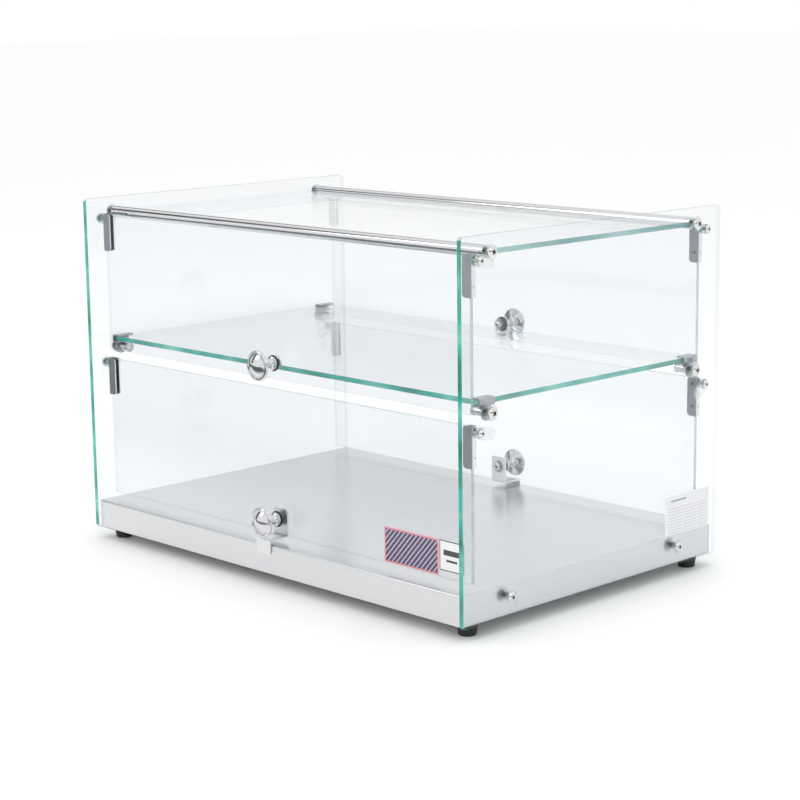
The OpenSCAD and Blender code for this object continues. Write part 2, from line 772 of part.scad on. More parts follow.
// Strip folded round the bottom of a lower flap, to close against the base
module stop_bracket(face) {
    base_y = face == FRONT ? base_front_y : base_rear_y;
    plate_y = flap_inner_y - bracket_sheet;
    tab_y = base_y + stop_gap;
    floor_z = flap_bottom(LOWER) - bracket_gap - bracket_sheet;
    plate_top_z = knob_z(LOWER) + bracket_head;
    tab_bottom_z = deck_z - bracket_tab;
    half_w = bracket_w / 2;
    color("gainsboro") at_face(face) difference() {
        union() {
            along_y(plate_y, bracket_sheet) {
                rounded_rect([-half_w, floor_z], [half_w, plate_top_z], bracket_r);
                translate([-half_w, floor_z]) square([bracket_w, bracket_r]);
            }
            translate([-half_w, plate_y, floor_z])
                cube([bracket_w, tab_y + bracket_sheet - plate_y, bracket_sheet]);
            along_y(tab_y, bracket_sheet) {
                rounded_rect([-half_w, tab_bottom_z], [half_w, floor_z + bracket_sheet],
                             bracket_r);
                translate([-half_w, floor_z + bracket_sheet - bracket_r])
                    square([bracket_w, bracket_r]);
            }
        }
        out_of_flap(plate_y - cut, knob_z(LOWER))
            cylinder(h = bracket_sheet + 2 * cut, d = knob_screw_d + 2 * glass_hole_gap);
    }
}

// ---- labels on the front lower flap --------------------------------------------

module front_labels() {
    plain_low = [flap_end_x - label_inset - plain_w, flap_bottom(LOWER) + plain_rise];
    stripe_low = [plain_low[0] - label_gap - stripe_w, flap_bottom(LOWER) + stripe_rise];
    color("firebrick") at_face(FRONT) along_y(flap_outer_y, label_t)
        rounded_rect(stripe_low, stripe_low + [stripe_w, stripe_h], label_r);
    color("white") at_face(FRONT) along_y(flap_outer_y, label_t)
        rounded_rect(plain_low, plain_low + [plain_w, plain_h], label_r);
}

// ---- nodes ---------------------------------------------------------------------

base_deck();
base_long_walls();
base_end_walls();
base_long_flanges();
base_end_flanges();
base_weld_nuts();
feet(FRONT);  // front_feet
feet(REAR);  // rear_feet
foot_screws();
side_glass(LEFT);  // left_side_glass
side_glass(RIGHT);  // right_side_glass
roof_glass();
shelf_glass();
rod(FRONT);  // front_rod
rod(REAR);  // rear_rod
side_screws();
side_washers();
shelf_clip(FRONT, LEFT);  // front_left_shelf_clip
shelf_clip(FRONT, RIGHT);  // front_right_shelf_clip
shelf_clip(REAR, LEFT);  // rear_left_shelf_clip
shelf_clip(REAR, RIGHT);  // rear_right_shelf_clip
shelf_sleeve_nuts();
pivot_bushings();
rating_label();

flap_glass(FRONT, UPPER);  // front_upper_glass
hinge_clip(FRONT, UPPER, LEFT);  // front_upper_left_clip
hinge_clip(FRONT, UPPER, RIGHT);  // front_upper_right_clip
pivot_screws(FRONT, UPPER);  // front_upper_pivot_screws
clamp_screws(FRONT, UPPER);  // front_upper_clamp_screws
knob(FRONT, UPPER);  // front_upper_knob
knob_washers(FRONT, UPPER);  // front_upper_knob_washers
knob_screw(FRONT, UPPER);  // front_upper_knob_screw

flap_glass(FRONT, LOWER);  // front_lower_glass
hinge_clip(FRONT, LOWER, LEFT);  // front_lower_left_clip
hinge_clip(FRONT, LOWER, RIGHT);  // front_lower_right_clip
pivot_screws(FRONT, LOWER);  // front_lower_pivot_screws
clamp_screws(FRONT, LOWER);  // front_lower_clamp_screws
knob(FRONT, LOWER);  // front_lower_knob
knob_washers(FRONT, LOWER);  // front_lower_knob_washers
knob_screw(FRONT, LOWER);  // front_lower_knob_screw
stop_bracket(FRONT);  // front_lower_bracket
front_labels();

flap_glass(REAR, UPPER);  // rear_upper_glass
hinge_clip(REAR, UPPER, LEFT);  // rear_upper_left_clip
hinge_clip(REAR, UPPER, RIGHT);  // rear_upper_right_clip
pivot_screws(REAR, UPPER);  // rear_upper_pivot_screws
clamp_screws(REAR, UPPER);  // rear_upper_clamp_screws
knob(REAR, UPPER);  // rear_upper_knob
knob_washers(REAR, UPPER);  // rear_upper_knob_washers
knob_screw(REAR, UPPER);  // rear_upper_knob_screw

flap_glass(REAR, LOWER);  // rear_lower_glass
hinge_clip(REAR, LOWER, LEFT);  // rear_lower_left_clip
hinge_clip(REAR, LOWER, RIGHT);  // rear_lower_right_clip
pivot_screws(REAR, LOWER);  // rear_lower_pivot_screws
clamp_screws(REAR, LOWER);  // rear_lower_clamp_screws
knob(REAR, LOWER);  // rear_lower_knob
knob_washers(REAR, LOWER);  // rear_lower_knob_washers
knob_screw(REAR, LOWER);  // rear_lower_knob_screw
stop_bracket(REAR);  // rear_lower_bracket
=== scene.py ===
import json
import math

import bmesh
import bpy
from mathutils import Matrix, Vector


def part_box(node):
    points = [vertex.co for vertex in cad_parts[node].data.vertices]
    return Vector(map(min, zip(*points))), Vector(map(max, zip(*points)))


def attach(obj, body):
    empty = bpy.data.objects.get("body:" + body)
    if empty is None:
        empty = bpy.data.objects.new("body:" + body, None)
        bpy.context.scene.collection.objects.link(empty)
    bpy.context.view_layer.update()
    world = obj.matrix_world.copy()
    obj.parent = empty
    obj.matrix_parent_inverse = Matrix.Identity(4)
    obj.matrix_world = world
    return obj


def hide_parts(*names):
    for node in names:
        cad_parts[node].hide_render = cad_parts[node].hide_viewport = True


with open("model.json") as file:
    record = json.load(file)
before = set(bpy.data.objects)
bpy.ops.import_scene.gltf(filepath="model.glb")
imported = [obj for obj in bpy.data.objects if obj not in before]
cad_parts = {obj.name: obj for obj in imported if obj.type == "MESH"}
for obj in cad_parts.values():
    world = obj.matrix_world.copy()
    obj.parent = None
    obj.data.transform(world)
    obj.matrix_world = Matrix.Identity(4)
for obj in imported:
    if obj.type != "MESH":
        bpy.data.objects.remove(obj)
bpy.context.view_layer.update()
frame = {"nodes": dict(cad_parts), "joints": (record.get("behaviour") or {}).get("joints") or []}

mm = 0.001
LEFT, RIGHT, FRONT, REAR = -1, 1, -1, 1


# ---- Base pan ------------------------------------------------------------------------
# A shallow tray folded from one stainless sheet, brushed along its length. Its walls turn
# down on four sides and then in under the case, where the feet are screwed to the flange.

class Socket:
    """A socket of a finish, which adds Math nodes when it stands in an expression."""

    def __init__(self, tree, socket):
        self.tree = tree
        self.socket = socket

    def maths(self, operation, *values):
        step = self.tree.nodes.new("ShaderNodeMath")
        step.operation = operation
        for place, value in zip(step.inputs, values):
            feed(self.tree, place, value)
        return Socket(self.tree, step.outputs[0])

    def __add__(self, other):
        return self.maths("ADD", self, other)

    def __radd__(self, other):
        return self.maths("ADD", other, self)

    def __sub__(self, other):
        return self.maths("SUBTRACT", self, other)

    def __rsub__(self, other):
        return self.maths("SUBTRACT", other, self)

    def __mul__(self, other):
        return self.maths("MULTIPLY", self, other)

    def __rmul__(self, other):
        return self.maths("MULTIPLY", other, self)

    def __truediv__(self, other):
        return self.maths("DIVIDE", self, other)

    def __rtruediv__(self, other):
        return self.maths("DIVIDE", other, self)

    def __pow__(self, other):
        return self.maths("POWER", self, other)

    def __abs__(self):
        return self.maths("ABSOLUTE", self)

    def over(self, other):
        return self.maths("GREATER_THAN", self, other)

    def under(self, other):
        return self.maths("LESS_THAN", self, other)

    def most(self, other):
        return self.maths("MAXIMUM", self, other)

    def least(self, other):
        return self.maths("MINIMUM", self, other)

    def wave(self):
        return self.maths("FRACT", self)


def feed(tree, place, value):
    """Links a socket to an input, or sets the input's own value."""
    if isinstance(value, Socket):
        tree.links.new(value.socket, place)
    elif isinstance(value, (tuple, list)) and len(value) == 3 and place.type == "RGBA":
        place.default_value = (*value, 1)
    else:
        place.default_value = value


class Finish:
    """A material, made of nodes that node() adds one by one."""

    def __init__(self, name):
        self.material = bpy.data.materials.new(name)
        self.material.use_nodes = True
        self.tree = self.material.node_tree
        self.tree.nodes.clear()

    def node(self, kind, settings=None, inputs=None, output=0):
        made = self.tree.nodes.new("ShaderNode" + kind)
        for setting, value in (settings or {}).items():
            if setting == "stops":
                ends = made.color_ramp.elements
                ends[0].position, ends[0].color = value[0][0], (*value[0][1], 1)
                ends[1].position, ends[1].color = value[-1][0], (*value[-1][1], 1)
                for position, colour in value[1:-1]:
                    ends.new(position).color = (*colour, 1)
            else:
                setattr(made, setting, value)
        for place, value in (inputs or {}).items():
            feed(self.tree, made.inputs[place], value)
        return Socket(self.tree, made.outputs[output])

    def place(self, scale=(1, 1, 1), centre=(0, 0, 0), turn=(0, 0, 0)):
        """Where a point is on the piece, centred, turned and then stretched."""
        point = self.node("TexCoord", output="Object")
        settled = self.node("Mapping", {}, {"Vector": point, "Location": tuple(-c for c in centre)})
        turned = self.node("Mapping", {}, {"Vector": settled, "Rotation": turn})
        return self.node("Mapping", {}, {"Vector": turned, "Scale": scale})

    def noise(self, fine, detail=2, **how):
        return self.node("TexNoise", {}, {"Vector": self.place(**how), "Scale": fine,
                                          "Detail": detail})

    def mix(self, share, first, second):
        return self.node("Mix", {"data_type": "RGBA"}, {0: share, 6: first, 7: second}, output=2)

    def bump(self, height, strength, depth):
        return self.node("Bump", {}, {"Height": height, "Strength": strength, "Distance": depth})

    def shown(self, surface):
        out = self.tree.nodes.new("ShaderNodeOutputMaterial")
        feed(self.tree, out.inputs["Surface"], surface)
        return self.material


def to_mesh(shape, name="part"):
    mesh = bpy.data.meshes.new(name)
    shape.to_mesh(mesh)
    shape.free()
    return mesh


def modified(mesh, kind, **settings):
    """The mesh after one modifier, with nothing of the modifier left on it."""
    holder = bpy.data.objects.new("holder", mesh)
    bpy.context.scene.collection.objects.link(holder)
    step = holder.modifiers.new("step", kind)
    for setting, value in settings.items():
        setattr(step, setting, value)
    bpy.context.view_layer.update()
    seen = holder.evaluated_get(bpy.context.evaluated_depsgraph_get())
    result = bpy.data.meshes.new_from_object(seen)
    bpy.data.objects.remove(holder)
    return result


def opened(*meshes):
    """One shape that holds all the meshes."""
    shape = bmesh.new()
    for mesh in meshes:
        shape.from_mesh(mesh)
    return shape


def fasten(name, made, finishes, body, nodes, smooth=32):
    """Turns a finished shape's faces outwards, gives it its finishes and hangs it on its body."""
    shape = made if isinstance(made, bmesh.types.BMesh) else opened(made)
    bmesh.ops.recalc_face_normals(shape, faces=shape.faces)
    for f in shape.faces:
        f.material_index = min(f.material_index, len(finishes) - 1)
    mesh = to_mesh(shape, name)
    for finish in finishes:
        mesh.materials.append(finish)
    mesh.shade_smooth()
    mesh.set_sharp_from_angle(angle=math.radians(smooth))
    mesh = modified(mesh, "WEIGHTED_NORMAL", keep_sharp=True, weight=80)
    made = bpy.data.objects.new(name, mesh)
    bpy.context.scene.collection.objects.link(made)
    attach(made, body)
    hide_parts(*nodes)
    return made


def block(low, high):
    """A solid block between two corners."""
    shape = bmesh.new()
    bmesh.ops.create_cube(shape, size=1)
    bmesh.ops.scale(shape, vec=Vector(high) - Vector(low), verts=shape.verts)
    bmesh.ops.translate(shape, vec=(Vector(high) + Vector(low)) / 2, verts=shape.verts)
    return shape


def soften(shape, radius, steps, wanted=lambda edge: edge.calc_face_angle(0) > 0.6):
    """Rounds the wanted edges."""
    bmesh.ops.bevel(shape, geom=[e for e in shape.edges if wanted(e)], offset=radius,
                    offset_type="OFFSET", segments=steps, profile=0.5, affect="EDGES",
                    material=-1)


def brushed(name, colour, along, rough, streak=0.05):
    """Metal with fine brush lines that run one way, and faint cloudy handling marks."""
    steel = Finish(name)
    lines = steel.noise(1, 4, scale=along)
    fine = steel.noise(1, 2, scale=tuple(4 * a for a in along))
    marks = steel.noise(14, 3)
    shade = steel.mix(lines * 0.6 + fine * 0.4, tuple(c * (1 - streak) for c in colour),
                      tuple(min(1, c * (1 + streak)) for c in colour))
    surface = steel.node("BsdfPrincipled", {}, {
        "Base Color": shade, "Metallic": 1.0,
        "Roughness": rough + (lines - 0.5) * 0.06 + (marks - 0.5) * 0.08,
        "Normal": steel.bump(lines * 0.6 + fine * 0.4, 0.04, 0.02 * mm)})
    return steel.shown(surface)


base_nodes = ["base_deck", "base_long_walls", "base_end_walls", "base_long_flanges",
              "base_end_flanges"]
low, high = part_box("base_long_walls")
high.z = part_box("base_deck")[1].z
hair = 0.05 * mm  # left between faces that would otherwise lie on glass
low.x, high.x = low.x + hair, high.x - hair
sheet = 1.2 * mm
bend = 2.0 * mm
flange = 34 * mm
pan = block(low, high)
underside = [f for f in pan.faces if f.normal.z < -0.99]
bmesh.ops.inset_region(pan, faces=underside, thickness=flange, use_even_offset=True)
bmesh.ops.delete(pan, geom=underside, context="FACES")
soften(pan, bend, 8, lambda e: abs(e.verts[0].co.x - e.verts[1].co.x) > 0.1
       and e.verts[0].co.z > high.z - 1 * mm)
soften(pan, 0.6 * mm, 3, lambda e: e.calc_face_angle(0) > 1.2 and
       max(v.co.z for v in e.verts) > low.z + 1 * mm)
soften(pan, 1.3 * mm, 5, lambda e: e.calc_face_angle(0) > 1.2
       and max(v.co.z for v in e.verts) < low.z + 0.1 * mm)
pan = modified(to_mesh(pan), "SOLIDIFY", thickness=sheet, offset=-1)
stainless = brushed("brushed_stainless", (0.715, 0.72, 0.73), (5, 900, 900), 0.24, 0.02)
fasten("base_pan", pan, [stainless], "case", base_nodes)


# ---- Feet ----------------------------------------------------------------------------
# Four moulded black rubber feet, tapered a little towards the table, with a round recess
# for the pan-head screw that holds each one to the flange.

def turned(profile, steps=48):
    """A solid of revolution about Z from (radius, height) pairs in millimetres."""
    shape = bmesh.new()
    line = [shape.verts.new((r * mm, 0, z * mm)) for r, z in profile]
    edges = [shape.edges.new(pair) for pair in zip(line, line[1:])]
    bmesh.ops.spin(shape, geom=line + edges, cent=(0, 0, 0), axis=(0, 0, 1),
                   angle=math.tau, steps=steps, use_merge=True)
    bmesh.ops.remove_doubles(shape, verts=shape.verts, dist=0.002 * mm)
    bmesh.ops.recalc_face_normals(shape, faces=shape.faces)
    return shape


def arc(centre, radius, start, end, steps):
    """Points of a profile along an arc, with the angles in degrees."""
    return [(centre[0] + radius * math.cos(math.radians(start + (end - start) * i / steps)),
             centre[1] + radius * math.sin(math.radians(start + (end - start) * i / steps)))
            for i in range(steps + 1)]


def pointing(direction, at, turn=0):
    """The place of a piece made up along Z, when it points in a direction."""
    return (Matrix.Translation(at) @ Vector(direction).to_track_quat("Z", "Y").to_matrix().to_4x4()
            @ Matrix.Rotation(math.radians(turn), 4, "Z"))


def copies(mesh, places):
    """One shape with a copy of the mesh at each place."""
    together = bmesh.new()
    for place in places:
        one = mesh.copy()
        one.transform(place)
        together.from_mesh(one)
        bpy.data.meshes.remove(one)
    return together


rubber = Finish("black_rubber")
grain = rubber.noise(2600, 3)
black_rubber = rubber.shown(rubber.node("BsdfPrincipled", {}, {
    "Base Color": rubber.mix(rubber.noise(60), (0.008, 0.008, 0.009), (0.022, 0.022, 0.023)),
    "Roughness": 0.52 + grain * 0.16, "Normal": rubber.bump(grain, 0.25, 0.08 * mm)}))

foot = turned([(0, 5), (3.9, 5), (4.4, 4.5), (4.4, 0.6), (4.9, 0), (7.3, 0)]
              + arc((7.3, 1.2), 1.2, -90, -8, 5)
              + arc((8.9, 10.9), 1.1, 0, 90, 5) + [(0, 12)])
foot = to_mesh(foot)
for face, node in ((FRONT, "front_feet"), (REAR, "rear_feet")):
    low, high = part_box(node)
    low, high = low + Vector((10, 10, 0)) * mm, high - Vector((10, 10, 12)) * mm
    fasten(node, copies(foot, [Matrix.Translation((x, high.y, 0)) for x in (low.x, high.x)]),
           [black_rubber], "case", [node])


# ---- Screws and washers through the sides ----------------------------------------------
# Bright zinc-plated pan-head screws with a cross recess. They clamp the side glasses to the
# base, the shelf clips and the rods, each over a clear washer that keeps it off the glass.

def cut(mesh, *tools):
    """The mesh with tools taken out of it."""
    for tool in tools:
        other = bpy.data.objects.new("tool", to_mesh(tool))
        bpy.context.scene.collection.objects.link(other)
        mesh = modified(mesh, "BOOLEAN", operation="DIFFERENCE", solver="EXACT", object=other)
        bpy.data.objects.remove(other)
    shape = opened(mesh)
    bmesh.ops.remove_doubles(shape, verts=shape.verts, dist=0.004 * mm)
    loose = [e for e in shape.edges if e.is_boundary]
    ends = [v for v in shape.verts if v.is_boundary]
    for e in loose:
        first, way = e.verts[0], e.verts[1].co - e.verts[0].co
        for v in ends:
            share = (v.co - first.co).dot(way) / way.length_squared
            if 0.001 < share < 0.999 and (first.co + way * share - v.co).length < 0.004 * mm:
                bmesh.utils.edge_split(e, first, share)
                break
    bmesh.ops.remove_doubles(shape, verts=shape.verts, dist=0.004 * mm)
    return to_mesh(shape)


def cross_screw(head, tall, shank, length):
    """A pan-head screw, its head on z = 0, its shank down to -length, sizes in millimetres."""
    rim = tall * 0.38
    crown = tall - rim
    ball = ((head / 2 - 0.5) ** 2 + crown * crown) / (2 * crown)
    edge = math.degrees(math.acos(1 - crown / ball))
    profile = ([(0, -length), (shank / 2 - 0.5, -length), (shank / 2, -length + 0.5),
                (shank / 2, 0), (head / 2 - 0.15, 0), (head / 2, 0.15)]
               + arc((head / 2 - 0.5, rim - 0.1), 0.5, 0, 50, 4)
               + arc((0, tall - ball), ball, 90 - edge + 4, 90, 8))
    screw = to_mesh(turned(profile, 40))
    bars = []
    for turn in (0, 90):
        bar = block((-head * 0.27 * mm, -head * 0.075 * mm, tall * 0.3 * mm),
                    (head * 0.27 * mm, head * 0.075 * mm, (tall + 1) * mm))
        bmesh.ops.scale(bar, vec=(0.45, 0.7, 1),
                        verts=[v for v in bar.verts if v.co.z < tall * 0.5 * mm])
        bmesh.ops.rotate(bar, cent=(0, 0, 0), matrix=Matrix.Rotation(math.radians(turn), 3, "Z"),
                         verts=bar.verts)
        bars.append(bar)
    screw = cut(screw, *bars)
    # Faces inside the cross recess take the second finish, a dark grey that is painted shade for the
    # hollow.
    for f in screw.polygons:
        inside = f.center.xy.length < head * 0.29 * mm
        f.material_index = int(inside and 0.1 * tall * mm < f.center.z < 0.8 * tall * mm)
    return screw


def ring(outer, inner, tall, edge=0.25):
    """A flat washer on z = 0 with softened edges, sizes in millimetres."""
    shape = turned([(inner / 2, edge), (inner / 2 + edge, 0), (outer / 2 - edge, 0),
                    (outer / 2, edge), (outer / 2, tall - edge), (outer / 2 - edge, tall),
                    (inner / 2 + edge, tall), (inner / 2, tall - edge), (inner / 2, edge)], 48)
    return to_mesh(shape)


def plated(name, colour, rough):
    """Bright plating with faint turning marks and a little staining."""
    zinc = Finish(name)
    stain = zinc.noise(220, 3)
    grit = zinc.noise(3500, 2)
    return zinc.shown(zinc.node("BsdfPrincipled", {}, {
        "Base Color": zinc.mix(stain, tuple(c * 0.82 for c in colour), colour),
        "Metallic": 1.0, "Roughness": rough + (stain - 0.5) * 0.12,
        "Normal": zinc.bump(grit, 0.12, 0.03 * mm)}))


zinc = plated("bright_zinc", (0.80, 0.80, 0.79), 0.20)
# The recess finish is the same plating made near black. It is painted shade, standing in for the
# shadow inside the cross recess.
recess = plated("recess_zinc", (0.13, 0.13, 0.135), 0.45)

clear = Finish("clear_washer")
facing = clear.node("LayerWeight", {}, {"Blend": 0.5}, output="Facing")
haze = clear.noise(400, 2)
clear_plastic = clear.shown(clear.node("MixShader", {}, {
    0: (0.12 + facing ** 2 * 0.50 + (haze - 0.5) * 0.10).least(1.0),
    1: clear.node("BsdfTransparent", {}, {"Color": (0.955, 0.975, 0.97)}),
    2: clear.node("BsdfPrincipled", {}, {
        "Base Color": clear.mix(haze, (0.70, 0.76, 0.75), (0.86, 0.90, 0.89)),
        "Roughness": 0.16 + haze * 0.10, "IOR": 1.49})}))

seat_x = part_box("side_washers")[1].x
rows = {}
for kind, node, behind in (("base", "base_weld_nuts", 4), ("shelf", "shelf_sleeve_nuts", 5),
                           ("rod", "rear_rod", 6)):
    low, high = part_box(node)
    rows[kind] = (high.y - behind * mm, (low.z + high.z) / 2)
turns = iter((20, 65, 38, 5, 72, 50, 12, 80, 33, 60, 25, 47))
screws = []
seats = []
for kind, head, length in (("base", 10, 11.0), ("shelf", 12, 17.0), ("rod", 12, 22.0)):
    y, z = rows[kind]
    screw = cross_screw(head, 3.3, 5, length)
    for side, y_at in ((LEFT, -y), (RIGHT, -y), (LEFT, y), (RIGHT, y)):
        placed = screw.copy()
        placed.transform(pointing((side, 0, 0), (side * seat_x, y_at, z), next(turns)))
        screws.append(placed)
        seats.append(pointing((side, 0, 0), (side * (seat_x - 1 * mm + hair / 2), y_at, z)))
fasten("side_screws", opened(*screws), [zinc, recess], "case", ["side_screws"])
fasten("side_washers", copies(ring(15, 6, 1), seats), [clear_plastic], "case",
       ["side_washers"])

low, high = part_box("foot_screws")
fasten("foot_screws", copies(cross_screw(8, 2.2, 4, 12), [
    pointing((0, 0, -1), (x, y, 5 * mm), 30 + 400 * (x + y))
    for x in (low.x + 4 * mm, high.x - 4 * mm) for y in (low.y + 4 * mm, high.y - 4 * mm)]),
    [zinc, recess], "case", ["foot_screws"])
frame["nodes"]["base_weld_nuts"].data.materials.clear()
frame["nodes"]["base_weld_nuts"].data.materials.append(plated("weld_nut_zinc", (0.6, 0.6, 0.59), 0.38))


# ---- Side glasses ----------------------------------------------------------------------
# Two toughened float-glass panes, 5 mm thick, drilled for the screws and the pivots. Their
# edges are ground and polished, so the green of the glass shows there and nowhere else.

def pane(width, tall, thick, corner, holes=(), arris=0.5):
    """A pane in the XY plane from z = 0 up. Its edges take the second finish. Sizes in
    metres, the arris and the holes' diameters in millimetres."""
    shape = bmesh.new()
    bmesh.ops.create_grid(shape, x_segments=1, y_segments=1, size=0.5)
    bmesh.ops.scale(shape, vec=(width, tall, 1), verts=shape.verts)
    bmesh.ops.bevel(shape, geom=shape.verts[:], offset=corner, offset_type="OFFSET", segments=6,
                    profile=0.5, affect="VERTICES", material=-1)
    bmesh.ops.delete(shape, geom=shape.faces[:], context="FACES_ONLY")
    for x, y, across in holes:
        bmesh.ops.create_circle(shape, cap_ends=False, radius=across / 2 * mm, segments=28,
                                matrix=Matrix.Translation((x, y, 0)))
    bmesh.ops.triangle_fill(shape, use_beauty=True, use_dissolve=False, edges=shape.edges[:])
    grown = bmesh.ops.extrude_face_region(shape, geom=shape.faces[:])["geom"]
    bmesh.ops.translate(shape, vec=(0, 0, thick), verts=[g for g in grown
                                                         if isinstance(g, bmesh.types.BMVert)])
    bmesh.ops.recalc_face_normals(shape, faces=shape.faces)
    for f in shape.faces:
        f.material_index = 0 if abs(f.normal.z) > 0.9 else 1
    bmesh.ops.bevel(shape, geom=[e for e in shape.edges if e.calc_face_angle(0) > 1.2],
                    offset=arris * mm, offset_type="OFFSET", segments=1, profile=0.5,
                    affect="EDGES", material=1)
    return to_mesh(shape)


def clear_glass(name, tint):
    """Clear float glass: it lets nearly everything through, mirrors more at a glance than
    face on, and has a slight roller ripple and faint wiping marks."""
    glass = Finish(name)
    ripple = glass.bump(glass.noise(7, 1), 0.05, 1 * mm)
    facing = glass.node("LayerWeight", {}, {"Blend": 0.5}, output="Facing")
    wiped = glass.noise(5, 5, scale=(1, 3, 1), turn=(0.4, 0.3, 0.5))
    mirror = 0.04 + facing ** 5 * 0.9
    return glass.shown(glass.node("MixShader", {}, {
        0: mirror + (wiped - 0.45).most(0.0) * 0.03,
        1: glass.node("BsdfTransparent", {}, {"Color": tint}),
        2: glass.node("BsdfPrincipled", {}, {
            "Base Color": (0.95, 0.97, 0.97), "Metallic": 1.0,
            "Roughness": 0.01 + (wiped - 0.45).most(0.0) * 0.08, "Normal": ripple})}))


def green_edge(name, dark, middle, light, solid, change=26):
    """A polished glass edge, where light from inside the pane comes out green, in longer
    and shorter stretches that are lighter and darker. It is faint at a glance along the
    edge, and from inside the pane."""
    edge = Finish(name)
    lit = edge.noise(change, 3)
    specks = edge.noise(900, 2)
    colour = edge.node("ValToRGB", {"stops": [(0.34, dark), (0.5, middle), (0.66, light)]},
                       {"Fac": lit * 0.9 + specks * 0.1})
    behind = edge.node("NewGeometry", output="Backfacing")
    facing = edge.node("LayerWeight", {}, {"Blend": 0.5}, output="Facing")
    glance = ((facing - 0.45) * 3).most(0.0).least(1.0)
    return edge.shown(edge.node("MixShader", {}, {
        0: solid * (1 - behind * 0.95) * (1 - glance * 0.92) + (lit - 0.5).most(0.0) * 0.05,
        1: edge.node("BsdfTransparent", {}, {"Color": (0.925, 0.945, 0.945)}),
        2: edge.node("BsdfPrincipled", {}, {
            "Base Color": colour, "Roughness": 0.16 + specks * 0.08, "IOR": 1.52,
            "Normal": edge.bump(specks, 0.05, 0.05 * mm)})}))


side_face = clear_glass("side_glass_clear", (0.972, 0.977, 0.984))
side_edge = green_edge("side_glass_edge", (0.012, 0.21, 0.16), (0.045, 0.41, 0.32),
                       (0.22, 0.66, 0.56), 0.97)
# The edges that face up get a paler, greyer and clearer copy of the same edge finish. This is painted
# light on the top edge.
side_top = green_edge("side_glass_top_edge", (0.33, 0.42, 0.42), (0.44, 0.53, 0.52),
                      (0.58, 0.66, 0.65), 0.55)
pivots = {j["name"].replace("_hinge", ""): Vector(j["pos_m"]) for j in frame["joints"]}
for side, node in ((LEFT, "left_side_glass"), (RIGHT, "right_side_glass")):
    low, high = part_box(node)
    middle = (low + high) / 2
    drilled = [(face * rows[kind][0], rows[kind][1] - middle.z, 6)
               for kind in rows for face in (FRONT, REAR)]
    drilled += [(at.y, at.z - middle.z, 9) for at in pivots.values()]
    glass = pane(high.y - low.y, high.z - low.z, high.x - low.x, 4 * mm, drilled)
    upright = Matrix(((0, 0, 1, low.x), (1, 0, 0, 0), (0, 1, 0, middle.z), (0, 0, 0, 1)))
    glass.transform(upright)
    # Upward edges take the third finish, the painted paler copy.
    for f in glass.polygons:
        if f.normal.z > 0.3:
            f.material_index = 2
    fasten(node, glass, [side_face, side_edge, side_top], "case", [node])


# ---- Rods ------------------------------------------------------------------------------
# Two chrome-plated rods across the case. Each is tapped at both ends for its screws and has
# a groove milled along its inner side, which the roof glass slides into.

def chromed(name, colour, rough):
    """Decorative chrome: nearly a mirror, with fine polishing lines and a few soft smudges."""
    chrome = Finish(name)
    smudge = chrome.noise(90, 4)
    lines = chrome.noise(1800, 2)
    return chrome.shown(chrome.node("BsdfPrincipled", {}, {
        "Base Color": chrome.mix(smudge, tuple(c * 0.93 for c in colour), colour),
        "Metallic": 1.0, "Roughness": rough + (smudge - 0.5).most(0.0) * 0.12,
        "Normal": chrome.bump(lines, 0.03, 0.02 * mm)}))


chrome = chromed("chrome", (0.74, 0.745, 0.76), 0.035)
roof_low, roof_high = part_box("roof_glass")
for face, node in ((FRONT, "front_rod"), (REAR, "rear_rod")):
    low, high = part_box(node)
    half = (high.x - low.x) / 2
    rod = to_mesh(turned([(0, 0), (5.5, 0), (6, 0.5), (6, half * 2000 - 0.5),
                          (5.5, half * 2000), (0, half * 2000)], 72))
    rod.transform(pointing((1, 0, 0), (low.x, (low.y + high.y) / 2, (low.z + high.z) / 2)))
    seat = roof_high.y - 0.01 * mm
    groove = block((low.x - 1 * mm, min(face * seat, 0), roof_low.z - 0.02 * mm),
                   (high.x + 1 * mm, max(face * seat, 0), roof_high.z + 0.02 * mm))
    fasten(node, cut(rod, groove), [chrome], "case", [node])


# ---- Roof glass ------------------------------------------------------------------------
# A plain 5 mm pane held in the grooves of the two rods, just short of the side glasses.

def level(node, corner, arris=0.5):
    low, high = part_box(node)
    middle = (low + high) / 2
    glass = pane(high.x - low.x, high.y - low.y, high.z - low.z, corner, (), arris)
    glass.transform(Matrix.Translation((middle.x, middle.y, low.z)))
    return glass


flat_face = clear_glass("level_glass_clear", (0.984, 0.989, 0.991))
roof_edge = green_edge("roof_glass_edge", (0.10, 0.30, 0.28), (0.19, 0.42, 0.40),
                       (0.30, 0.52, 0.50), 0.9, 14)
fasten("roof_glass", level("roof_glass", 0.6 * mm), [flat_face, roof_edge], "case",
       ["roof_glass"])


# ---- Shelf -----------------------------------------------------------------------------
# A 5 mm glass shelf that lies in four folded steel channels. Each channel hangs on a screw
# through the side, which ends in a chromed sleeve nut with a cross recess.

